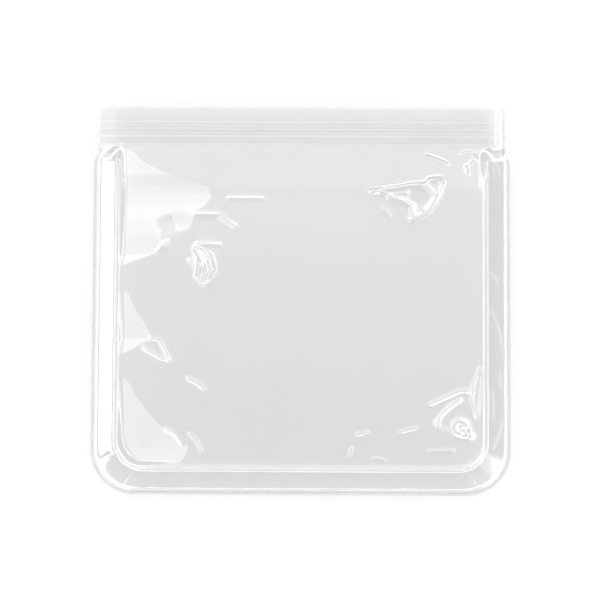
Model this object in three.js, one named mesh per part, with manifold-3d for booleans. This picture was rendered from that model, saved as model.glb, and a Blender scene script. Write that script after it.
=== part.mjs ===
// A reusable food bag, lying on its back with its mouth shut.
//
// Two clear films, each formed into a shallow tray, are welded together round
// three sides. Two press-to-close zips, one above the other, close the fourth:
// each is a ribbed tape on the back film and a channelled tape on the front
// film. The zips' ends are crushed and fused, so the mouth opens between them.
//
// Millimetres. +X runs across the bag, +Y towards the mouth and +Z up. The
// origin is the centre of the bag's footprint, on the surface it lies on.

import * as THREE from "three";
import { mergeVertices } from "three/addons/utils/BufferGeometryUtils.js";
import Module from "manifold-3d";

// Driving dimensions.
const WIDTH = 210;
const LENGTH = 195;
const FILM = 0.4; // film thickness, measured upright
const TRAY_DEPTH = 7.65; // from the weld plane to the outside of each face
const CORNER_RADIUS = 22.5; // of the two bottom corners, outside
const FACE_CORNER_RADIUS = 14.5; // of the formed face inside them
const GAP = 0.3; // between pieces that are fused or pressed together

// The fused rim round the sides and bottom.
const BEAD_WIDTH = 1.0;
const BEAD_HEIGHT = 1.6;
const FLANGE_INSET = 2.4; // where the formed wall starts to rise
const FACE_INSET = 13.5; // where the flat face starts
const FLANGE_RISE = 0.65; // outside of the flange above the weld plane

// The mouth.
const ZIP_HALF_WIDTH = 101;
const SEAL_WIDTH = 6.6; // the crushed end of the zips
const SEAL_HALF_THICKNESS = 1.5;
const SEAL_CORNER = 1.5;
const TAPE_HEIGHT = 7.3; // each zip's tape, along Y
const TAPE_SPACING = 7.7;
const LOWER_TAPE_TO_MOUTH = 20.3; // lower tape's lower edge from the mouth's edge
const TAPE_WEB = 0.6;
const WEB_OFFSET = 0.9; // inside of each web from the weld plane
const COVER_RISE = 2.3; // outside of the film where it covers the tapes
const LIP_RISE = 0.75; // outside of the film at the mouth's edge
const LIP_LENGTH = 4.7;
const SLOPE_LENGTH = 18.2; // where the face comes down to the zips
const FLEX_FROM_MOUTH = 51.5; // the line about which the front film lifts
const MOUTH_SIDE = 88; // half-width of the film that lifts below the zips
const SHOULDER = 8.5; // length over which the outline narrows to the zips

// The zips' interlocking profile.
const RIB_STEM = 0.4;
const RIB_HEAD = 0.75;
const RIB_CHAMFER = 0.3;
const RIB_NECK_RISE = -0.1;
const RIB_TOP_RISE = 0.5;
const CHANNEL_INSIDE = 1.3;
const CHANNEL_LIP = 0.25;
const CHANNEL_LIP_HEIGHT = 0.35;
const CHANNEL_WALL = 0.6;
const CHANNEL_FOOT_RISE = -0.6;

// Places worked out from them.
const WELD_Z = TRAY_DEPTH;
const MOUTH_Y = LENGTH / 2;
const BOTTOM_Y = -LENGTH / 2;
const LOWER_TAPE_Y = MOUTH_Y - LOWER_TAPE_TO_MOUTH;
const UPPER_TAPE_Y = LOWER_TAPE_Y + TAPE_SPACING;
const BODY_TOP_Y = LOWER_TAPE_Y - GAP - 0.4;
const FACE_TOP_Y = BODY_TOP_Y - SLOPE_LENGTH;
const FLEX_Y = MOUTH_Y - FLEX_FROM_MOUTH;
const SEAL_INSIDE = ZIP_HALF_WIDTH - SEAL_WIDTH;
const TAPE_HALF_WIDTH = SEAL_INSIDE - GAP;
const BELOW = WELD_Z - 6; // foot of the solids that the films are cut from
const CORNER_STEPS = 10;
const SHOULDER_STEPS = 8;

const wasm = await Module();
wasm.setup();

// A closed three.js geometry as a solid for cutting and joining.
function toSolid(geometry) {
  const bare = geometry.index ? geometry.toNonIndexed() : geometry.clone();
  bare.deleteAttribute("normal");
  bare.deleteAttribute("uv");
  const merged = mergeVertices(bare, 1e-4);
  return new wasm.Manifold(
    new wasm.Mesh({
      numProp: 3,
      vertProperties: new Float32Array(merged.attributes.position.array),
      triVerts: new Uint32Array(merged.index.array),
    }),
  );
}

function toGeometry(solid) {
  const { vertProperties, triVerts } = solid.getMesh();
  const geometry = new THREE.BufferGeometry();
  geometry.setAttribute("position", new THREE.BufferAttribute(vertProperties, 3));
  geometry.setIndex(new THREE.BufferAttribute(triVerts, 1));
  geometry.computeVertexNormals();
  return geometry;
}

// A solid with this outline in plan, between two heights.
function prism(points, low, high) {
  const geometry = new THREE.ExtrudeGeometry(new THREE.Shape(points), {
    depth: high - low,
    bevelEnabled: false,
  });
  return geometry.translate(0, 0, low);
}

// A solid with this section in the YZ plane, running along X.
function alongX(section, halfLength) {
  const geometry = new THREE.ExtrudeGeometry(new THREE.Shape(section), {
    depth: 2 * halfLength,
    bevelEnabled: false,
  });
  const turn = new THREE.Matrix4().makeBasis(
    new THREE.Vector3(0, 1, 0),
    new THREE.Vector3(0, 0, 1),
    new THREE.Vector3(1, 0, 0),
  );
  return geometry.applyMatrix4(turn).translate(-halfLength, 0, 0);
}

// Mirrors a geometry from the front half of the bag to the back half.
function toBack(geometry) {
  const flipped = geometry.clone().scale(1, 1, -1).translate(0, 0, 2 * WELD_Z);
  const index = flipped.index.array;
  for (let i = 0; i < index.length; i += 3) {
    [index[i + 1], index[i + 2]] = [index[i + 2], index[i + 1]];
  }
  flipped.computeVertexNormals();
  return flipped;
}

function arc(centreX, centreY, radius, from, steps) {
  const points = [];
  for (let i = 0; i <= steps; i++) {
    const angle = from + (i / steps) * (Math.PI / 2);
    points.push(
      new THREE.Vector2(
        centreX + radius * Math.cos(angle),
        centreY + radius * Math.sin(angle),
      ),
    );
  }
  return points;
}

// The bag's side and bottom edges, moved inwards, from the right shoulder
// round the bottom to the left shoulder.
function bodyEdge(inset) {
  const side = WIDTH / 2 - inset;
  const shoulder = ZIP_HALF_WIDTH - inset;
  const radius = CORNER_RADIUS - inset;
  const bottom = BOTTOM_Y + inset;
  const curve = new THREE.CubicBezierCurve(
    new THREE.Vector2(shoulder, BODY_TOP_Y),
    new THREE.Vector2(shoulder, BODY_TOP_Y - SHOULDER / 2),
    new THREE.Vector2(side, BODY_TOP_Y - SHOULDER / 2),
    new THREE.Vector2(side, BODY_TOP_Y - SHOULDER),
  );
  const right = [
    ...curve.getPoints(SHOULDER_STEPS),
    ...arc(side - radius, bottom + radius, radius, -Math.PI / 2, CORNER_STEPS).reverse(),
  ];
  const left = right.map((p) => new THREE.Vector2(-p.x, p.y)).reverse();
  return [...right, ...left];
}

// A rounded rectangle round the tray, as a level ring of points.
function trayRing({ inset, rise, top, bottomRadius, topRadius }) {
  const side = WIDTH / 2 - inset;
  const bottom = BOTTOM_Y + inset;
  const quarter = Math.PI / 2;
  const corners = [
    arc(side - bottomRadius, bottom + bottomRadius, bottomRadius, -quarter, CORNER_STEPS),
    arc(side - topRadius, top - topRadius, topRadius, 0, CORNER_STEPS),
    arc(-side + topRadius, top - topRadius, topRadius, quarter, CORNER_STEPS),
    arc(-side + bottomRadius, bottom + bottomRadius, bottomRadius, 2 * quarter, CORNER_STEPS),
  ];
  return corners.flat().map((p) => new THREE.Vector3(p.x, p.y, WELD_Z + rise));
}

// A closed solid through level rings with equal counts, lowest first.
function loft(rings) {
  const count = rings[0].length;
  const positions = rings.flat().flatMap((p) => [p.x, p.y, p.z]);
  const triangles = [];
  for (let r = 0; r + 1 < rings.length; r++) {
    for (let i = 0; i < count; i++) {
      const a = r * count + i;
      const b = r * count + ((i + 1) % count);
      triangles.push(a, b, b + count, a, b + count, a + count);
    }
  }
  const last = (rings.length - 1) * count;
  for (let i = 1; i + 1 < count; i++) {
    triangles.push(0, i + 1, i);
    triangles.push(last, last + i, last + i + 1);
  }
  const geometry = new THREE.BufferGeometry();
  geometry.setAttribute("position", new THREE.Float32BufferAttribute(positions, 3));
  geometry.setIndex(triangles);
  return geometry;
}

// The formed tray under the front film, from the weld plane up to the face.
function trayForm() {
  const footRadius = CORNER_RADIUS - FLANGE_INSET;
  const foot = { inset: FLANGE_INSET, top: BODY_TOP_Y - 0.3, bottomRadius: footRadius, topRadius: 12 };
  const rings = [
    { ...foot, rise: BELOW - WELD_Z },
    { ...foot, rise: FLANGE_RISE },
    { inset: 10.6, rise: TRAY_DEPTH - 0.9, top: FACE_TOP_Y + 2.3, bottomRadius: 15.8, topRadius: 7 },
    { inset: 11.9, rise: TRAY_DEPTH - 0.25, top: FACE_TOP_Y + 0.8, bottomRadius: 15, topRadius: 7 },
    {
      inset: FACE_INSET,
      rise: TRAY_DEPTH,
      top: FACE_TOP_Y,
      bottomRadius: FACE_CORNER_RADIUS,
      topRadius: 8,
    },
  ];
  return loft(rings.map(trayRing));
}

// The film's outside over the zips, and the lip beyond them.
function zipCoverForm() {
  const low = LOWER_TAPE_Y - GAP;
  const lipFoot = MOUTH_Y - LIP_LENGTH;
  const section = [
    new THREE.Vector2(low, BELOW),
    new THREE.Vector2(MOUTH_Y, BELOW),
    new THREE.Vector2(MOUTH_Y, WELD_Z + LIP_RISE),
    new THREE.Vector2(lipFoot, WELD_Z + COVER_RISE),
    new THREE.Vector2(low, WELD_Z + COVER_RISE),
  ];
  return alongX(section, TAPE_HALF_WIDTH);
}

// The film between the face's slope and the zips, falling away at both ends.
function zipShoulderForm() {
  const levels = [
    [TAPE_HALF_WIDTH, BELOW],
    [TAPE_HALF_WIDTH, WELD_Z + FLANGE_RISE],
    [MOUTH_SIDE, WELD_Z + COVER_RISE],
  ];
  return loft(levels.map(([side, z]) => levelBar(side, z)));
}

function levelBar(side, z) {
  const low = FACE_TOP_Y + 6;
  const high = LOWER_TAPE_Y - GAP + 0.01;
  return [
    new THREE.Vector3(-side, low, z),
    new THREE.Vector3(side, low, z),
    new THREE.Vector3(side, high, z),
    new THREE.Vector3(-side, high, z),
  ];
}

// The whole front film: the top FILM millimetres of everything it is formed over.
function wholeFrontFilm() {
  const flange = toSolid(prism(bodyEdge(BEAD_WIDTH + GAP), BELOW, WELD_Z + FLANGE_RISE));
  const formed = toSolid(trayForm()).add(toSolid(zipShoulderForm()));
  const form = flange.add(formed).add(toSolid(zipCoverForm()));
  return form.subtract(form.translate([0, 0, -FILM]));
}

// The part of the front film that lifts when the mouth opens, in plan.
function mouthRegion(grow) {
  const side = MOUTH_SIDE + grow;
  const wide = TAPE_HALF_WIDTH + 1;
  const low = FLEX_Y + GAP / 2 - grow;
  const step = BODY_TOP_Y + GAP - grow;
  const right = [
    [side, low],
    [side, step],
    [wide, step],
    [wide, MOUTH_Y + 1],
  ];
  const left = right.map(([x, y]) => [-x, y]).reverse();
  const outline = [...right, ...left].map(([x, y]) => new THREE.Vector2(x, y));
  return toSolid(prism(outline, BELOW, 2 * TRAY_DEPTH + 1));
}

// A channelled zip tape, hanging from the front film.
function channelTape(low) {
  const middle = low + TAPE_HEIGHT / 2;
  const webIn = WELD_Z + WEB_OFFSET;
  const webOut = webIn + TAPE_WEB;
  const foot = WELD_Z + CHANNEL_FOOT_RISE;
  const lip = foot + CHANNEL_LIP_HEIGHT;
  const outside = CHANNEL_INSIDE + CHANNEL_WALL;
  const half = [
    [TAPE_HEIGHT / 2, webOut],
    [TAPE_HEIGHT / 2, webIn],
    [outside, webIn],
    [outside, foot],
    [CHANNEL_INSIDE - CHANNEL_LIP, foot],
    [CHANNEL_INSIDE - CHANNEL_LIP, lip],
    [CHANNEL_INSIDE, lip],
    [CHANNEL_INSIDE, webIn],
  ];
  return alongX(mirrored(half, middle), TAPE_HALF_WIDTH);
}

// A ribbed zip tape, standing on the back film.
function ribTape(low) {
  const middle = low + TAPE_HEIGHT / 2;
  const webIn = WELD_Z - WEB_OFFSET;
  const webOut = webIn - TAPE_WEB;
  const half = [
    [TAPE_HEIGHT / 2, webOut],
    [TAPE_HEIGHT / 2, webIn],
    [RIB_STEM, webIn],
    [RIB_STEM, WELD_Z + RIB_NECK_RISE],
    [RIB_HEAD, WELD_Z + RIB_NECK_RISE],
    [RIB_HEAD, WELD_Z + RIB_TOP_RISE - RIB_CHAMFER],
    [RIB_HEAD - RIB_CHAMFER, WELD_Z + RIB_TOP_RISE],
  ];
  return alongX(mirrored(half, middle), TAPE_HALF_WIDTH);
}

// A section that is the same either side of its middle.
function mirrored(half, middle) {
  const right = half.map(([y, z]) => new THREE.Vector2(middle + y, z));
  const left = half.map(([y, z]) => new THREE.Vector2(middle - y, z)).reverse();
  return [...right, ...left];
}

// The crushed and fused end of both zips and both films.
function endSeal(sign) {
  const low = BODY_TOP_Y + GAP;
  const shape = new THREE.Shape();
  shape.moveTo(SEAL_INSIDE, low);
  shape.lineTo(ZIP_HALF_WIDTH, low);
  shape.lineTo(ZIP_HALF_WIDTH, MOUTH_Y - SEAL_CORNER);
  shape.quadraticCurveTo(ZIP_HALF_WIDTH, MOUTH_Y, ZIP_HALF_WIDTH - SEAL_CORNER, MOUTH_Y);
  shape.lineTo(SEAL_INSIDE, MOUTH_Y);
  const geometry = new THREE.ExtrudeGeometry(shape, {
    depth: 2 * SEAL_HALF_THICKNESS,
    bevelEnabled: false,
    curveSegments: 5,
  });
  geometry.translate(0, 0, WELD_Z - SEAL_HALF_THICKNESS);
  return sign > 0 ? geometry : geometry.rotateY(Math.PI).translate(0, 0, 2 * WELD_Z);
}

// The bead of fused film at the cut edge.
function edgeBead() {
  const outline = [...bodyEdge(0), ...bodyEdge(BEAD_WIDTH).reverse()];
  return prism(outline, WELD_Z - BEAD_HEIGHT / 2, WELD_Z + BEAD_HEIGHT / 2);
}

const clearFilm = { color: 0xdfe1df, roughness: 0.12, metalness: 0, opacity: 0.45 };
const zipPlastic = { color: 0xd6d8cc, roughness: 0.25, metalness: 0, opacity: 0.7 };
const fusedFilm = { color: 0xe4e6e2, roughness: 0.2, metalness: 0, opacity: 0.6 };

function piece(name, geometry, finish) {
  const material = new THREE.MeshStandardMaterial({ ...finish, transparent: true });
  const mesh = new THREE.Mesh(geometry, material);
  mesh.name = name;
  return mesh;
}

const film = wholeFrontFilm();
const frontPanel = toGeometry(film.subtract(mouthRegion(GAP)));
const mouthPanel = toGeometry(film.intersect(mouthRegion(0)));
const backPanel = toBack(toGeometry(film));

const body = new THREE.Group();
body.add(
  piece("back_panel", backPanel, clearFilm),
  piece("front_panel", frontPanel, clearFilm),
  piece("edge_weld_bead", edgeBead(), fusedFilm),
  piece("left_end_seal", endSeal(-1), fusedFilm),
  piece("right_end_seal", endSeal(1), fusedFilm),
  piece("lower_zip_rib_tape", ribTape(LOWER_TAPE_Y), zipPlastic),
  piece("upper_zip_rib_tape", ribTape(UPPER_TAPE_Y), zipPlastic),
);

const mouth = new THREE.Group();
mouth.add(
  piece("front_mouth_panel", mouthPanel, clearFilm),
  piece("lower_zip_channel_tape", channelTape(LOWER_TAPE_Y), zipPlastic),
  piece("upper_zip_channel_tape", channelTape(UPPER_TAPE_Y), zipPlastic),
);

const bag = new THREE.Group();
bag.add(body, mouth);

export default bag;
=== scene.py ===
"""A clear reusable food bag lying on its back on a pale surface, in soft studio light.

Two films, each formed into a shallow tray, are fused round three sides. Two press-to-close
zips close the mouth between crushed end seals. Lengths are in metres, in the CAD's frame.
"""

import math

import bpy
import numpy as np
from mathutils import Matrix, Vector


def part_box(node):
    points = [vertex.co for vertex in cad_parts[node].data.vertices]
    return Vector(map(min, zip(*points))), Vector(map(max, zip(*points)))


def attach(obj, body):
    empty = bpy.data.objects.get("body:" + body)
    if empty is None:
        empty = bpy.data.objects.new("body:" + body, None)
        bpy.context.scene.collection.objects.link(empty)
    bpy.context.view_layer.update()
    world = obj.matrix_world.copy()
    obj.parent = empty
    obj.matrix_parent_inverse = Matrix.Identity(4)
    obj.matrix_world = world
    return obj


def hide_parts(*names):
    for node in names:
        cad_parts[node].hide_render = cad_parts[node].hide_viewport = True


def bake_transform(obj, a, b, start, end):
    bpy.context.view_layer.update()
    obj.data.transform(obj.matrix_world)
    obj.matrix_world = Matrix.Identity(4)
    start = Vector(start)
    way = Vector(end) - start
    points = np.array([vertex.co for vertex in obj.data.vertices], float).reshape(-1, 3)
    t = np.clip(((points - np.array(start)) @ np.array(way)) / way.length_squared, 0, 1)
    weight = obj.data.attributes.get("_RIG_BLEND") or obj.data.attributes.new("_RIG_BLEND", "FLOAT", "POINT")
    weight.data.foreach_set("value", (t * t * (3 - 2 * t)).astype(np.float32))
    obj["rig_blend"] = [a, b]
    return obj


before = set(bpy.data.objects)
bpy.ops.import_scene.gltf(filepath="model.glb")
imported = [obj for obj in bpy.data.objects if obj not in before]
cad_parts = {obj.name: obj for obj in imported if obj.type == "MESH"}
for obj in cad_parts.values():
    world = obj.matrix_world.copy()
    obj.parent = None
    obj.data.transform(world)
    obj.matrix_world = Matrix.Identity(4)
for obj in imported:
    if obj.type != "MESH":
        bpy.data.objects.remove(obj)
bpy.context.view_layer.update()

MM = 0.001

# Places read from the frame.
bead_low, bead_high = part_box("edge_weld_bead")
seal_low, seal_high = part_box("right_end_seal")
panel_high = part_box("front_panel")[1]
mouth_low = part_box("front_mouth_panel")[0]
HALF_WIDTH = bead_high.x
BOTTOM_Y = bead_low.y
WELD_Z = (bead_low.z + bead_high.z) / 2
FACE_RISE = panel_high.z - WELD_Z
ZIP_HALF = seal_high.x + 1.5 * MM
SEAL_IN = seal_low.x
MOUTH_Y = seal_high.y
BODY_TOP = seal_low.y
FLEX_Y = mouth_low.y

# The shape of each formed film. Insets are measured inwards from the cut edge.
FILM = 0.35 * MM
CORNER_RADIUS = 22.5 * MM
FACE_CORNER_RADIUS = 14.5 * MM
FACE_INSET = 13.5 * MM
FUSED_WIDTH = 1.2 * MM
RIDGE_INSET = 13.0 * MM
RIDGE_HEIGHT = 0.45 * MM
RIDGE_WIDTH = 1.6 * MM
FACE_LEVEL = FACE_RISE - RIDGE_HEIGHT
# Inset and rise at each bend of the rim: edge, foot of the wall, top of the wall.
FRONT_RIM = [(0, 0.35 * MM), (3.4 * MM, 0.95 * MM), (11.3 * MM, FACE_LEVEL)]
BACK_RIM = [(0, 0.42 * MM), (2.0 * MM, 0.42 * MM), (12.8 * MM, FACE_LEVEL)]
RIM_BEND = 0.6 * MM
FACE_TOP = MOUTH_Y - 39.2 * MM
SLOPE_BEND = 4 * MM
SHOULDER = 8.5 * MM
# The walls drop to the zips' level over this length, up to the seals.
WALL_END = 6 * MM
WALL_END_BEND = 2 * MM
# The slope to the zips gives way to a wall over this width, inside the ridge.
WALL_BLEND = 3.5 * MM
WALL_BLEND_INSET = RIDGE_INSET + 2.5 * MM

# The film over the zips.
COVER_RISE = 1.95 * MM
ROLL_LENGTH = 6.4 * MM
ROLL_DROP = 1.5 * MM
ROLL_BEND = 0.5 * MM
# How far the zips' flanges and the end seals stop short of the mouth's edge.
LIP = 0.8 * MM

# Spacing of the films' mesh points, and half the width of a zip's flange in millimetres.
FRONT_STEP = 0.5 * MM
BACK_STEP = 1.1 * MM
RIM_STEP = 0.4 * MM
ZIP_STEP = 0.15 * MM
FLANGE = 3.65


# ---------------------------------------------------------------- shapes in plan


def smooth(t):
    """0 below 0, 1 above 1, and an S-curve between."""
    t = np.clip(t, 0, 1)
    return t * t * (3 - 2 * t)


def above(t, soft):
    """t where it is positive and 0 where it isn't, with the corner rounded over +-soft."""
    t = np.asarray(t, float)
    rounded = (np.clip(t, -soft, soft) + soft) ** 2 / (4 * soft)
    return np.where(t > soft, t, rounded)


def ramp(t, low, high, soft):
    """0 before low, 1 after high, and straight between, with rounded corners."""
    return (above(t - low, soft) - above(t - high, soft)) / (high - low)


def half_width(y):
    """Half the bag's width at y: it narrows to the zips and rounds off at the bottom."""
    y = np.asarray(y, float)
    shoulder = smooth((y - (BODY_TOP - SHOULDER)) / SHOULDER)
    wide = HALF_WIDTH - (HALF_WIDTH - ZIP_HALF) * shoulder
    drop = np.clip(BOTTOM_Y + CORNER_RADIUS - y, 0, CORNER_RADIUS)
    return wide - CORNER_RADIUS + np.sqrt(CORNER_RADIUS**2 - drop**2)


def film_half_width(y):
    """Half the width of either film where it leaves the fused band, or of the zips' film."""
    drop = np.clip(BOTTOM_Y + CORNER_RADIUS - y, 0, CORNER_RADIUS - FUSED_WIDTH)
    radius = CORNER_RADIUS - FUSED_WIDTH
    inner = HALF_WIDTH - CORNER_RADIUS + np.sqrt(radius**2 - drop**2)
    return np.minimum(inner, half_width(y))


def inset(x, y):
    """How far a point lies inside the cut edge, on rings whose corners tighten inwards."""
    straight = np.minimum(HALF_WIDTH - np.abs(x), y - BOTTOM_Y)
    tighten = (CORNER_RADIUS - FACE_CORNER_RADIUS) / FACE_INSET
    k = 1 - tighten
    a = np.abs(x) - (HALF_WIDTH - CORNER_RADIUS)
    b = BOTTOM_Y + CORNER_RADIUS - y
    square = 2 * k * k - tighten * tighten
    linear = 2 * (k * (a + b) + CORNER_RADIUS * tighten)
    constant = a * a + b * b - CORNER_RADIUS**2
    root = np.sqrt(np.maximum(linear * linear - 4 * square * constant, 0))
    corner = -2 * constant / np.maximum(linear + root, 1e-9)
    inside = (a + k * straight > 0) & (b + k * straight > 0)
    return np.where(inside, corner, straight)


def rim_rise(t, rim):
    """The film's height over the weld plane at an inset: sloping flange, wall and face."""
    rise, slope = rim[0][1], 0
    for (near, low), (far, high) in zip(rim, rim[1:]):
        next_slope = (high - low) / (far - near)
        rise = rise + (next_slope - slope) * above(t - near, RIM_BEND)
        slope = next_slope
    return rise - slope * above(t - rim[-1][0], RIM_BEND)


def cover_rise(x, y, roll_drop):
    """The film's height over the zips and their end seals, out to the mouth's edge.

    It rolls down by roll_drop over the right end seal.
    """
    over_seal = above(x - (ZIP_HALF - ROLL_LENGTH), ROLL_BEND)
    return COVER_RISE + zip_lines(y) - roll_drop * (over_seal / ROLL_LENGTH) ** 2


# Lines along the zips: distance below the mouth's edge, half width, height. Millimetres.
ZIP_LINES = [
    (7.2, 0.5, -0.05),
    (11.8, 0.3, 0.12),
    (14.3, 0.9, -0.08),
    (18.6, 0.6, -0.05),
    (19.7, 0.35, 0.02),
]


def zip_lines(y):
    """The fine lines pressed into the film along the zips."""
    below = (MOUTH_Y - y) / MM
    rise = np.zeros(np.shape(y))
    for place, width, height in ZIP_LINES:
        rise = rise + height * MM * np.exp(-(((below - place) / width) ** 2))
    return rise


def film_rise(x, y, rim, ridge_height, roll_drop):
    """The outside of either film over the weld plane, before its slack is added.

    The face slopes down to the zips. The walls keep their height until beside the seals.
    """
    slope = ramp(y, FACE_TOP, BODY_TOP, SLOPE_BEND)
    beside = ramp(y, BODY_TOP - WALL_END, BODY_TOP, WALL_END_BEND)
    side = smooth((np.abs(x) - (HALF_WIDTH - WALL_BLEND_INSET)) / WALL_BLEND)
    down = slope + (beside - slope) * side
    t = inset(x, y)
    ridge = ridge_height * np.exp(-(((t - RIDGE_INSET) / RIDGE_WIDTH) ** 2))
    return (rim_rise(t, rim) + ridge) * (1 - down) + cover_rise(x, y, roll_drop) * down


# ---------------------------------------------------------------- slack and dents


CROWN = 0.8 * MM
# Slopes of the sagging film beside a fold, and this far from it.
SAG_AT_FOLD = 0.10
SAG_AT_RIDGE = 0.03
SAG_REACH = 45 * MM
SAG_BEND = 1.2 * MM
SAG_FADE = 4 * MM
# How far above the face's top the sag runs, and the length over which it fades there.
SAG_TOP = 14 * MM
SAG_TOP_FADE = 5 * MM
# The face's dents and creases fade over these lengths at its sides and at its top.
FACE_FADE = 3 * MM
MARKS_TOP = 8 * MM
MARKS_TOP_FADE = 12 * MM
# The folds down the left of the face, from the zips down. Millimetres.
LEFT_FOLDS = [
    (-92.7, 77),
    (-86, 75),
    (-78, 67.5),
    (-68, 62.5),
    (-54, 59),
    (-47, 56.5),
    (-44.5, 52),
    (-48, 47),
    (-62, 40),
    (-71, 32),
    (-71, 28),
    (-75, 22),
    (-84, 19),
    (-92.7, 15),
    (-92.7, 6),
    (-87, 2),
    (-84, -5),
    (-77, -15),
    (-75, -20),
    (-84, -25),
    (-92.7, -29),
    (-92.7, -38),
    (-87, -41),
    (-82, -50),
    (-75, -58),
    (-71, -63),
    (-62, -67),
    (-55, -74),
    (-59, -81),
    (-80, -85),
]
# Dents and pillows: place, length and width, turn in degrees, height. Millimetres.
FRONT_DENTS = [
    ((-64, 38), (6, 4), 10, -1.0),
    ((-47.5, 17), (4, 8.5), 10, 1.65),
    ((-70, 27), (3, 4), 40, 0.6),
    ((-74, -71), (6, 8), 10, -0.25),
    ((58, 49), (6, 5), -30, -0.4),
]
# Creases: the points each runs through, its half width, height. Millimetres.
RING = [
    (82.5, -63.6),
    (81.5, -61.3),
    (79.2, -60.3),
    (76.9, -61.3),
    (75.9, -63.6),
    (76.9, -65.9),
    (79.2, -66.9),
    (81.5, -65.9),
    (82.5, -63.6),
]
LOOP = [
    (62, 57.5),
    (64, 60),
    (68, 60.5),
    (70.5, 58),
    (69.5, 54.5),
    (66, 53.5),
    (62, 57),
]
FRONT_CREASES = [
    ([(-54, 42), (-42, 42), (-33, 36)], 1.3, 0.6),
    ([(-52, 27), (-41, 27)], 0.9, 0.55),
    ([(-53, 25), (-50, 19), (-52, 11)], 1.1, 0.75),
    ([(-50, 24), (-47, 17), (-49, 9)], 1.1, 0.75),
    ([(-46, 22), (-44, 15), (-47, 9)], 1.0, 0.6),
    ([(-56, 19), (-46, 17)], 1.0, 0.5),
    ([(-72, 24), (-67, 29)], 1.0, 0.5),
    ([(35, 54.5), (48, 56), (55, 57.5), (61, 57.5)], 1.4, 0.66),
    (LOOP, 1.2, 0.6),
    ([(35, 54.5), (44, 52.5), (52.5, 53.5)], 1.2, 0.56),
    ([(44, 51), (50.5, 49.5), (55, 47), (55.5, 43)], 1.5, 0.7),
    ([(68, 52.5), (65, 47.5), (62.5, 44), (59, 42), (55, 40)], 1.6, 0.8),
    ([(41, 45.2), (43.8, 41.8)], 1.2, 0.3),
    ([(88.9, -34.3), (90.2, -37), (89.9, -44), (88.9, -51), (87.1, -57.7)], 0.9, 0.42),
    ([(87.1, -57.7), (84.9, -51), (84.4, -45.8), (85.9, -40.8), (88.9, -34.3)], 0.9, 0.42),
    ([(64.4, -52), (75, -47.3), (79, -45.3), (85, -45.8)], 1.0, 0.55),
    ([(66.9, -61), (71, -56), (75, -52.4), (79, -50)], 1.1, 0.6),
    ([(66.9, -61), (69.5, -64), (72.5, -65)], 1.0, 0.5),
    (RING, 1.7, 0.82),
    ([(81.5, -65.9), (84.5, -68)], 1.7, 0.8),
    ([(64, -75.4), (75.4, -75)], 0.9, 0.4),
    ([(-75, -20), (-70.4, -20.8), (-65, -31)], 0.9, 0.5),
    ([(-65, -31), (-70, -29.8), (-78, -25)], 0.9, 0.5),
    ([(-56, -40), (-52, -42), (-48, -45)], 1.0, 0.5),
    ([(-66.4, -65), (-62, -68), (-59, -72)], 0.8, 0.4),
    ([(-55, -67.4), (-51, -71), (-49, -76)], 0.8, 0.4),
    ([(27.8, -67.4), (33.3, -66)], 0.9, 0.45),
    ([(49.4, -66), (57, -64)], 0.9, 0.45),
    ([(24, -78), (25.3, -74)], 0.8, 0.4),
    ([(36.3, -79), (41.3, -80)], 0.9, 0.4),
    ([(-36.5, 50.5), (-20, 50.5)], 0.8, 0.5),
]
# Creases in the side walls and beside the zips.
WALL_CREASES = [
    ([(63, 72.7), (68, 70.6), (72.4, 68.5)], 0.9, 0.4),
    ([(80.5, 74), (85, 75), (88, 71), (85, 68)], 1.0, 0.5),
    ([(82.4, 67), (82.9, 63.4)], 0.9, 0.4),
    ([(95.8, 68.5), (95.3, 62.7), (99.1, 63.5), (97, 69.4), (95.8, 68.5)], 0.8, 0.5),
    ([(94.5, 13), (96.5, 11), (97.5, 8)], 0.9, 0.5),
    ([(94.5, -6), (98, -14), (100.5, -28)], 0.9, 0.5),
    ([(98.4, -35.8), (99.4, -42.3)], 0.8, 0.5),
    ([(95, -46), (95, -59)], 0.8, 0.5),
    ([(99.9, -61), (97, -68), (95, -74)], 1.1, 0.6),
]
BACK_DENTS = [
    ((-10, -30), (40, 24), 20, 0.4),
    ((40, 10), (34, 20), -30, 0.35),
    ((-50, 20), (30, 20), 50, 0.35),
]
BACK_CREASES = [
    ([(60, 70), (80, 76)], 2.0, 0.4),
]


def oval(x, y, at, size, turn=0.0):
    """1 at a point, falling away over an oval of that length and width."""
    c, s = math.cos(math.radians(turn)), math.sin(math.radians(turn))
    dx, dy = x - at[0] * MM, y - at[1] * MM
    along, across = c * dx + s * dy, c * dy - s * dx
    return np.exp(-((along / (size[0] * MM)) ** 2) - (across / (size[1] * MM)) ** 2)


def crease(x, y, points, width):
    """1 along a line through points, falling away to either side and fading at its ends."""
    near = np.full(np.shape(x), 1e9)
    for (ax, ay), (bx, by) in zip(points, points[1:]):
        ux, uy = (bx - ax) * MM, (by - ay) * MM
        dx, dy = x - ax * MM, y - ay * MM
        along = np.clip((dx * ux + dy * uy) / (ux * ux + uy * uy), 0, 1)
        near = np.minimum(near, np.hypot(dx - along * ux, dy - along * uy))
    return np.exp(-((near / (width * MM)) ** 2))


def relief(x, y, pillows, creases):
    """The height of a film's pillows, dents and creases."""
    height = np.zeros(np.shape(x))
    for at, size, turn, amount in pillows:
        height = height + amount * MM * oval(x, y, at, size, turn)
    for points, width, amount in creases:
        height = height + amount * MM * crease(x, y, points, width)
    return height


def sag(x, y):
    """How far the face sags along its left side, left of the folds in LEFT_FOLDS."""
    ys, xs = zip(*sorted((py * MM, px * MM) for px, py in LEFT_FOLDS))
    past = above(np.interp(y, ys, xs) - x, SAG_BEND)
    depth = SAG_AT_FOLD * past - (SAG_AT_FOLD - SAG_AT_RIDGE) * past**2 / (2 * SAG_REACH)
    return depth * smooth((inset(x, y) - RIDGE_INSET) / SAG_FADE)


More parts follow.
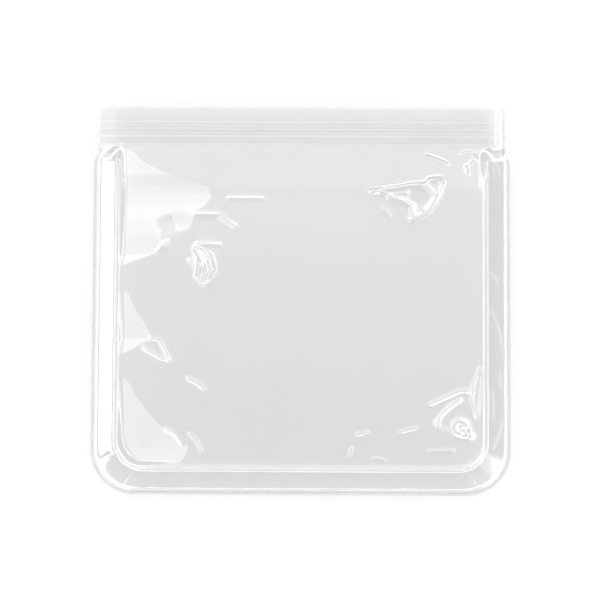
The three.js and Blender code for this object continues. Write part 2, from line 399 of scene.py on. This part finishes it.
def crown(x, y):
    """The slight puff of the middle of a face."""
    across = np.clip(x / (HALF_WIDTH - RIDGE_INSET), -1, 1)
    middle = (FACE_TOP + BOTTOM_Y + RIDGE_INSET) / 2
    along = np.clip((y - middle) / (FACE_TOP - middle), -1, 1)
    return np.cos(across * math.pi / 2) * np.cos(along * math.pi / 2)


def front_slack(x, y):
    """How far the front film stands up from its formed shape: its puff, sag and creases."""
    face = CROWN * crown(x, y) + relief(x, y, FRONT_DENTS, FRONT_CREASES)
    top = 1 - smooth((y - (FACE_TOP + SAG_TOP)) / SAG_TOP_FADE)
    marks = relief(x, y, [], WALL_CREASES)
    return face * face_mask(x, y) - sag(x, y) * top + marks


def back_slack(x, y):
    """How far the back film is pushed up off the surface it lies on."""
    return -relief(x, y, BACK_DENTS, BACK_CREASES) * face_mask(x, y)


def face_mask(x, y):
    """1 over the flat face, fading out at its ridge and at the slope to the zips."""
    side = smooth((inset(x, y) - RIDGE_INSET) / FACE_FADE)
    top = 1 - smooth((y - (FACE_TOP + MARKS_TOP)) / MARKS_TOP_FADE)
    return side * top


# ---------------------------------------------------------------- meshes


def spread(low, high, step):
    """Evenly spaced values from low to high, no more than step apart."""
    count = max(2, int(math.ceil((high - low) / step)) + 1)
    return np.linspace(low, high, count)


def film_rows(step):
    """Y of each row of a film's mesh, closest where the film bends most."""
    turns = np.radians(np.arange(0, 90, 1.5))
    start, radius = BOTTOM_Y + FUSED_WIDTH, CORNER_RADIUS - FUSED_WIDTH
    corner = start + radius * (1 - np.cos(turns))
    face = spread(BOTTOM_Y + CORNER_RADIUS, BODY_TOP, step)
    zips = spread(BODY_TOP, MOUTH_Y, ZIP_STEP)
    return np.unique(np.concatenate([corner, face, zips]).round(7))


def film_columns(step):
    """Shares of the half width at which a film's mesh has its columns."""
    rim_width = 17 * MM
    edge = spread(1 - rim_width / HALF_WIDTH, 1, RIM_STEP / HALF_WIDTH)
    middle = spread(0, edge[0], step / HALF_WIDTH)
    half = np.unique(np.concatenate([middle, edge]).round(7))
    return np.concatenate([-half[:0:-1], half])


def grid_faces(rows, columns):
    """The quads of a grid of points, row by row."""
    index = np.arange(rows * columns).reshape(rows, columns)
    a, b = index[:-1, :-1], index[:-1, 1:]
    c, d = index[1:, 1:], index[1:, :-1]
    return np.stack([a, b, c, d], axis=-1).reshape(-1, 4)


def new_mesh(name, points, faces, material):
    """A smooth-shaded mesh object in the scene."""
    mesh = bpy.data.meshes.new(name)
    mesh.from_pydata([tuple(p) for p in points], [], [list(map(int, f)) for f in faces])
    mesh.polygons.foreach_set("use_smooth", [True] * len(mesh.polygons))
    mesh.materials.append(material)
    mesh.update()
    obj = bpy.data.objects.new(name, mesh)
    bpy.context.scene.collection.objects.link(obj)
    return obj


def make_film(name, side, profile, slack, step, material):
    """A formed film. side is 1 for the front film and -1 for the back one.

    profile is its rim, the height of its ridge and how far it rolls over the right seal.
    """
    rows, shares = film_rows(step), film_columns(step)
    y = np.repeat(rows[:, None], len(shares), axis=1)
    x = film_half_width(y) * shares[None, :]
    rise = film_rise(x, y, *profile) - FILM / 2 + slack(x, y)
    z = WELD_Z + side * rise
    points = np.stack([x, y, z], axis=-1).reshape(-1, 3)
    faces = grid_faces(len(rows), len(shares))
    if side < 0:
        faces = faces[:, ::-1]
    film = new_mesh(name, points, faces, material)
    shell = film.modifiers.new("thickness", "SOLIDIFY")
    shell.thickness = FILM
    shell.offset = 0
    return film


def outline():
    """The cut edge in plan, from the right shoulder round the bottom to the left one."""
    centre_x, centre_y = HALF_WIDTH - CORNER_RADIUS, BOTTOM_Y + CORNER_RADIUS
    tops = spread(BODY_TOP - SHOULDER, BODY_TOP, 0.8 * MM)[::-1]
    side = [(float(half_width(y)), float(y)) for y in tops]
    side += [(HALF_WIDTH, y) for y in spread(centre_y, tops[-1], 4 * MM)[-2:0:-1]]
    for angle in np.linspace(0, -math.pi / 2, 17):
        dx, dy = CORNER_RADIUS * math.cos(angle), CORNER_RADIUS * math.sin(angle)
        side.append((centre_x + dx, centre_y + dy))
    bottom = [(x, BOTTOM_Y) for x in spread(-centre_x, centre_x, 5 * MM)[-2:0:-1]]
    left = [(-x, y) for x, y in reversed(side)]
    return np.array(side + bottom + left)


def edge_section():
    """The fused band and its bead, as steps out from the cut edge and up from the weld."""
    band, bead = 0.36 * MM, 0.62 * MM
    middle, foot = -0.5 * MM, -1.1 * MM
    inner = -FUSED_WIDTH - 0.4 * MM
    section = [(inner, -band), (foot, -band)]
    for angle in np.radians(np.arange(-120, 121, 30)):
        section.append((middle - middle * math.cos(angle), bead * math.sin(angle)))
    return section + [(foot, band), (inner, band)]


def tube_faces(corners, rings):
    """The sides and both ends of a tube, given as rings of that many corners."""
    faces = []
    for i in range(rings - 1):
        for k in range(corners):
            a, b = i * corners + k, i * corners + (k + 1) % corners
            faces.append((a, b, b + corners, a + corners))
    faces.append(tuple(range(corners))[::-1])
    last = (rings - 1) * corners
    faces.append(tuple(last + k for k in range(corners)))
    return faces


def make_edge(material):
    """The fused band round the cut edge, with its rounded bead."""
    path = outline()
    ahead = np.gradient(path, axis=0)
    ahead /= np.linalg.norm(ahead, axis=1)[:, None]
    outwards = np.stack([-ahead[:, 1], ahead[:, 0]], axis=1)
    section = edge_section()
    points = []
    for (x, y), (nx, ny) in zip(path, outwards):
        points += [(x + nx * out, y + ny * out, WELD_Z + up) for out, up in section]
    return new_mesh("edge_weld", points, tube_faces(len(section), len(path)), material)


def make_strip(name, section, half_length, material):
    """A closed section in Y and Z, run along X."""
    places = np.linspace(-half_length, half_length, 73)
    points = [(x, y, z) for x in places for y, z in section]
    strip = new_mesh(name, points, tube_faces(len(section), len(places)), material)
    bevel = strip.modifiers.new("rounded", "BEVEL")
    bevel.width = 0.08 * MM
    bevel.segments = 2
    bevel.limit_method = "ANGLE"
    bevel.angle_limit = math.radians(40)
    return strip


def tape_section(half, middle, lip_end):
    """A tape's outline. Its flange runs on to lip_end on the mouth's side."""
    flange = max(y for y, z in half)
    mouth_side = []
    for y, z in half:
        place = lip_end if y == flange else middle + y * MM
        mouth_side.append((place, WELD_Z + z * MM))
    body_side = [(middle - y * MM, WELD_Z + z * MM) for y, z in reversed(half)]
    return mouth_side + body_side


# Half of each tape's outline on the mouth's side: Y from its middle, and Z from the weld
# plane. Millimetres.
RIB_HALF = [
    (FLANGE, -1.5),
    (FLANGE, -0.95),
    (2.6, -0.9),
    (0.4, -0.85),
    (0.4, -0.1),
    (0.75, -0.1),
    (0.72, 0.15),
    (0.3, 0.5),
]
CHANNEL_HALF = [
    (FLANGE, 1.5),
    (FLANGE, 0.95),
    (1.95, 0.9),
    (1.85, -0.6),
    (1.2, -0.6),
    (1.05, -0.3),
    (1.3, -0.2),
    (1.3, 0.85),
]


def make_tapes(material):
    """Both halves of both zips."""
    made = {}
    for place in ("lower", "upper"):
        for kind, half in (("rib", RIB_HALF), ("channel", CHANNEL_HALF)):
            low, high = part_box(f"{place}_zip_{kind}_tape")
            middle = (low.y + high.y) / 2
            lip_end = MOUTH_Y - LIP if place == "upper" else middle + FLANGE * MM
            section = tape_section(half, middle, lip_end)
            if kind == "channel":
                section = section[::-1]
            name = f"{place}_{kind}_tape"
            made[name] = make_strip(name, section, high.x, material)
    return made


def make_seal(name, sign, height, material):
    """The crushed zip ends between the films: a flattened block with pressed ripples."""
    step, edge_half, edge_bend = 0.4 * MM, 0.3 * MM, 1.5 * MM
    ys = spread(BODY_TOP, MOUTH_Y - LIP, step)
    xs = spread(SEAL_IN, ZIP_HALF - 0.5 * MM, step)
    y, x = np.meshgrid(ys, xs, indexing="ij")
    edge = np.minimum.reduce([x - xs[0], xs[-1] - x, y - ys[0], ys[-1] - y])
    ripple = 0.12 * MM * np.sin(y / (1.7 * MM))
    ripple = ripple + 0.08 * MM * np.sin(x / (0.8 * MM) + y / (5 * MM))
    half = edge_half + (height + ripple) * smooth(edge / edge_bend)
    top = np.stack([sign * x, y, WELD_Z + half], axis=-1).reshape(-1, 3)
    bottom = np.stack([sign * x, y, WELD_Z - half], axis=-1).reshape(-1, 3)
    count = len(top)
    faces = grid_faces(len(ys), len(xs))
    rim = rim_of(len(ys), len(xs))
    walls = [(a, a + count, b + count, b) for a, b in zip(rim, rim[1:] + rim[:1])]
    upper = faces if sign > 0 else faces[:, ::-1]
    lower = upper[:, ::-1] + count
    if sign < 0:
        walls = [w[::-1] for w in walls]
    everything = [tuple(f) for f in upper] + [tuple(f) for f in lower] + walls
    return new_mesh(name, np.concatenate([top, bottom]), everything, material)


def rim_of(rows, columns):
    """Indices round the edge of a grid, anticlockwise seen from above."""
    index = np.arange(rows * columns).reshape(rows, columns)
    round_it = [index[0, :-1], index[:-1, -1], index[-1, :0:-1], index[:0:-1, 0]]
    return [int(i) for i in np.concatenate(round_it)]


# ---------------------------------------------------------------- materials


def node_material(name):
    """A new material with an empty node tree and its output."""
    material = bpy.data.materials.new(name)
    material.use_nodes = True
    nodes = material.node_tree.nodes
    nodes.clear()
    output = nodes.new("ShaderNodeOutputMaterial")
    return material, nodes, material.node_tree.links, output


def clear_plastic(name, tints, patches_per_metre, cloud, ior, roughness, ripples):
    """Clear plastic that lets light straight through: gloss by Fresnel over a faint cloud.

    The tint and the roughness drift between two values over patches. cloud is its strength
    and colour. ripples are the gloss's unevenness: how many in a metre, and their strength.
    """
    material, nodes, links, output = node_material(name)
    where = nodes.new("ShaderNodeTexCoord")
    patches = noise_node(nodes, links, where, patches_per_metre)
    tint = nodes.new("ShaderNodeMix")
    tint.data_type = "RGBA"
    tint.inputs["A"].default_value = (*tints[0], 1)
    tint.inputs["B"].default_value = (*tints[1], 1)
    links.new(patches.outputs["Fac"], tint.inputs["Factor"])
    through = nodes.new("ShaderNodeBsdfTransparent")
    links.new(tint.outputs["Result"], through.inputs["Color"])
    body = nodes.new("ShaderNodeBsdfPrincipled")
    body.inputs["Base Color"].default_value = (*cloud[1], 1)
    body.inputs["Roughness"].default_value = 0.4
    gloss = nodes.new("ShaderNodeBsdfPrincipled")
    gloss.inputs["Base Color"].default_value = (1, 1, 1, 1)
    gloss.inputs["Metallic"].default_value = 1.0
    worn = nodes.new("ShaderNodeMapRange")
    worn.inputs["To Min"].default_value = roughness[0]
    worn.inputs["To Max"].default_value = roughness[1]
    links.new(patches.outputs["Fac"], worn.inputs["Value"])
    links.new(worn.outputs["Result"], gloss.inputs["Roughness"])
    fine = noise_node(nodes, links, where, ripples[0])
    uneven = nodes.new("ShaderNodeBump")
    uneven.inputs["Strength"].default_value = ripples[1]
    uneven.inputs["Distance"].default_value = 0.1 * MM
    links.new(fine.outputs["Fac"], uneven.inputs["Height"])
    links.new(uneven.outputs["Normal"], gloss.inputs["Normal"])
    side = nodes.new("ShaderNodeNewGeometry")
    index = nodes.new("ShaderNodeMapRange")
    index.inputs["To Min"].default_value = ior
    index.inputs["To Max"].default_value = 1 / ior
    links.new(side.outputs["Backfacing"], index.inputs["Value"])
    fresnel = nodes.new("ShaderNodeFresnel")
    links.new(index.outputs["Result"], fresnel.inputs["IOR"])
    links.new(uneven.outputs["Normal"], fresnel.inputs["Normal"])
    clouded = nodes.new("ShaderNodeMixShader")
    clouded.inputs["Fac"].default_value = cloud[0]
    links.new(through.outputs["BSDF"], clouded.inputs[1])
    links.new(body.outputs["BSDF"], clouded.inputs[2])
    coated = nodes.new("ShaderNodeMixShader")
    links.new(fresnel.outputs["Fac"], coated.inputs["Fac"])
    links.new(clouded.outputs["Shader"], coated.inputs[1])
    links.new(gloss.outputs["BSDF"], coated.inputs[2])
    links.new(coated.outputs["Shader"], output.inputs["Surface"])
    return material


def noise_node(nodes, links, where, scale):
    """Soft noise over the piece, with about scale patches in a metre."""
    noise = nodes.new("ShaderNodeTexNoise")
    noise.inputs["Scale"].default_value = scale
    noise.inputs["Detail"].default_value = 2
    links.new(where.outputs["Object"], noise.inputs["Vector"])
    return noise


def clear_film():
    """The films: almost colourless, and very glossy."""
    tints = ((0.974, 0.974, 0.974), (0.978, 0.978, 0.978))
    cloud = (0.004, (0.9, 0.9, 0.9))
    return clear_plastic("clear_film", tints, 25, cloud, 1.5, (0.03, 0.06), (60, 0.05))


def zip_plastic():
    """The zips: a faint olive, and softer in its gloss."""
    tints = ((0.991, 0.9913, 0.9905), (0.9925, 0.9928, 0.988))
    cloud = (0.008, (0.85, 0.86, 0.8))
    return clear_plastic("zip_plastic", tints, 30, cloud, 1.14, (0.06, 0.1), (300, 0.1))


def fused_film():
    """The fused band and its bead: tinted greyer than the films, a painted shade so that the bag's edge
    shows as a grey line.
    """
    tints = ((0.87, 0.87, 0.87), (0.91, 0.91, 0.905))
    cloud = (0.02, (0.9, 0.9, 0.9))
    return clear_plastic("fused_film", tints, 60, cloud, 1.22, (0.05, 0.12), (400, 0.2))


def crushed_plastic():
    """The crushed zip ends: a little cloudy."""
    tints = ((0.99, 0.99, 0.985), (1.0, 1.0, 0.99))
    cloud = (0.06, (0.95, 0.95, 0.88))
    return clear_plastic("crushed_plastic", tints, 150, cloud, 1.2, (0.1, 0.25), (300, 0.3))


def matt_grey(name, value):
    material, nodes, links, output = node_material(name)
    paint = nodes.new("ShaderNodeBsdfDiffuse")
    paint.inputs["Color"].default_value = (value, value, value, 1)
    links.new(paint.outputs["BSDF"], output.inputs["Surface"])
    return material


# ---------------------------------------------------------------- stage


# The strength of the white light on everything, which the gloss doesn't mirror.
WHITE_LIGHT = 1.44
# The power of an area light for a radiance of 1 over one square metre.
WATTS_PER_RADIANCE = 4
# The room's soft glow: its tilt from overhead towards the mouth, and how bright the room is
# by the cosine of the angle from the glow's middle.
GLOW_TILT = math.radians(30)
ROOM = [
    (0, 0.03),
    (0.7, 0.06),
    (0.79, 0.12),
    (0.85, 0.36),
    (0.9, 0.58),
    (0.925, 0.74),
    (0.98, 1.7),
]


def make_camera():
    """Nearly overhead, leaning a few degrees towards the bag's bottom edge."""
    data = bpy.data.cameras.new("camera")
    camera = bpy.data.objects.new("camera", data)
    bpy.context.scene.collection.objects.link(camera)
    distance, elevation, roll = 0.9, math.radians(86), math.radians(0.3)
    seen_width = 301.6 * MM
    data.sensor_width = 36
    data.lens = data.sensor_width * distance / seen_width
    target = Vector((-0.7 * MM, 0, WELD_Z))
    back = Vector((0, -math.cos(elevation), math.sin(elevation)))
    camera.location = target + back * distance
    camera.rotation_euler = (-back).to_track_quat("-Z", "Y").to_euler()
    camera.rotation_euler.rotate_axis("Z", roll)
    bpy.context.scene.camera = camera


def make_world():
    """Even white light on everything, and a room for the gloss to mirror."""
    world = bpy.data.worlds.new("studio")
    bpy.context.scene.world = world
    world.use_nodes = True
    nodes, links = world.node_tree.nodes, world.node_tree.links
    nodes.clear()
    output = nodes.new("ShaderNodeOutputWorld")
    white = nodes.new("ShaderNodeBackground")
    white.inputs["Strength"].default_value = WHITE_LIGHT
    where = nodes.new("ShaderNodeTexCoord")
    nearness = nodes.new("ShaderNodeVectorMath")
    nearness.operation = "DOT_PRODUCT"
    nearness.inputs[1].default_value = (0, math.sin(GLOW_TILT), math.cos(GLOW_TILT))
    ramp_node = nodes.new("ShaderNodeValToRGB")
    fill_ramp(ramp_node.color_ramp, ROOM)
    room = nodes.new("ShaderNodeBackground")
    links.new(where.outputs["Generated"], nearness.inputs[0])
    links.new(nearness.outputs["Value"], ramp_node.inputs["Fac"])
    links.new(ramp_node.outputs["Color"], room.inputs["Color"])
    rays = nodes.new("ShaderNodeLightPath")
    mix = nodes.new("ShaderNodeMixShader")
    links.new(rays.outputs["Is Glossy Ray"], mix.inputs["Fac"])
    links.new(white.outputs["Background"], mix.inputs[1])
    links.new(room.outputs["Background"], mix.inputs[2])
    links.new(mix.outputs["Shader"], output.inputs["Surface"])


def fill_ramp(color_ramp, stops):
    """Grey stops of a colour ramp, as pairs of place and value."""
    while len(color_ramp.elements) < len(stops):
        color_ramp.elements.new(0.5)
    for element, (place, value) in zip(color_ramp.elements, stops):
        element.position = place
        element.color = (value, value, value, 1)


def softbox(name, tilt, azimuth, distance, size, radiance, color=(1, 1, 1)):
    """A rectangular light aimed at the bag. Tilt is from overhead; azimuth 0 is +X.

    It shows in the film's gloss only, so the floor stays evenly lit.
    """
    data = bpy.data.lights.new(name, "AREA")
    data.shape = "RECTANGLE"
    data.size, data.size_y = size
    data.energy = radiance * WATTS_PER_RADIANCE * size[0] * size[1]
    data.color = color
    light = bpy.data.objects.new(name, data)
    light.visible_diffuse = False
    bpy.context.scene.collection.objects.link(light)
    t, a = math.radians(tilt), math.radians(azimuth)
    towards = Vector((math.sin(t) * math.cos(a), math.sin(t) * math.sin(a), math.cos(t)))
    light.location = towards * distance
    light.rotation_euler = towards.to_track_quat("Z", "Y").to_euler()


def make_lights():
    """Windows and panels for the flat parts, and narrow strips for the creases."""
    softbox("window_left", 31, 180, 1.6, (2.3, 1.12), 1.5)
    softbox("strip_left", 44, 180, 1.5, (0.9, 0.2), 5)
    softbox("low_left", 83, 187, 1.6, (1.2, 0.26), 4, (1.0, 0.99, 0.95))
    softbox("low_corner", 83, 228, 1.6, (0.4, 0.3), 1.2)
    softbox("panel_right", 28, 0, 1.6, (1.2, 0.74), 1.4)
    softbox("strip_right", 45, 0, 1.6, (1.0, 0.2), 5)
    softbox("strip_top", 48, 90, 1.6, (0.6, 0.24), 5)
    for azimuth in (45, 135, 235, 270, 305):
        softbox(f"corner_{azimuth}", 43, azimuth, 1.6, (0.9, 0.26), 7)


def make_floor():
    """A wide pale floor just under the bag."""
    size, level = 8.0, -0.3 * MM
    corners = [(-size, -size), (size, -size), (size, size), (-size, size)]
    points = [(x, y, level) for x, y in corners]
    floor = new_mesh("floor", points, [(0, 1, 2, 3)], matt_grey("pale_floor", 0.92))


# ---------------------------------------------------------------- the bag


def mouth_share(x, y):
    """How much of the mouth's lift each point takes: a lens between the end seals."""
    across = np.clip(np.abs(x) / (SEAL_IN - 1 * MM), 0, 1)
    fullness = 1.3
    lens = np.where(across < 1, np.cos(across * math.pi / 2) ** fullness, 0)
    return lens * smooth((y - FLEX_Y) / (BODY_TOP - FLEX_Y))


def lift_with_mouth(piece):
    """The piece follows the mouth in the middle and stays with the body at its ends."""
    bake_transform(piece, "body", "mouth", start=(0, FLEX_Y, WELD_Z), end=(0, BODY_TOP, WELD_Z))
    mesh = piece.data
    points = np.zeros(len(mesh.vertices) * 3, np.float32)
    mesh.vertices.foreach_get("co", points)
    points = points.reshape(-1, 3).astype(float)
    share = mouth_share(points[:, 0], points[:, 1])
    mesh.attributes["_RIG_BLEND"].data.foreach_set("value", share.astype(np.float32))


def build_bag():
    """Make each piece, hide the part of the frame it replaces, and say what it moves with."""
    film, zips = clear_film(), zip_plastic()
    fused, crushed = fused_film(), crushed_plastic()

    formed = (FRONT_RIM, RIDGE_HEIGHT, ROLL_DROP)
    front = make_film("front_film", 1, formed, front_slack, FRONT_STEP, film)
    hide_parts("front_panel", "front_mouth_panel")
    lift_with_mouth(front)

    back = make_film("back_film", -1, (BACK_RIM, 0, 0), back_slack, BACK_STEP, film)
    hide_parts("back_panel")
    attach(back, "body")

    # The fused band's grey tint is painted shade, which draws the bag's edge as a line.
    edge = make_edge(fused)
    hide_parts("edge_weld_bead")
    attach(edge, "body")

    for sign, side, height in ((1, "right", 0.35 * MM), (-1, "left", 0.95 * MM)):
        seal = make_seal(f"{side}_crushed_zip_end", sign, height, crushed)
        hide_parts(f"{side}_end_seal")
        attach(seal, "body")

    for name, tape in make_tapes(zips).items():
        place, kind, _ = name.split("_")
        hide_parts(f"{place}_zip_{kind}_tape")
        if kind == "rib":
            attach(tape, "body")
        else:
            lift_with_mouth(tape)


def set_up_render():
    """Plain colours, and enough bounces for light to pass every layer."""
    scene = bpy.context.scene
    scene.view_settings.view_transform = "Standard"
    scene.cycles.transparent_max_bounces = 48
    scene.cycles.max_bounces = 16


make_camera()
make_world()
make_lights()
make_floor()
build_bag()
set_up_render()
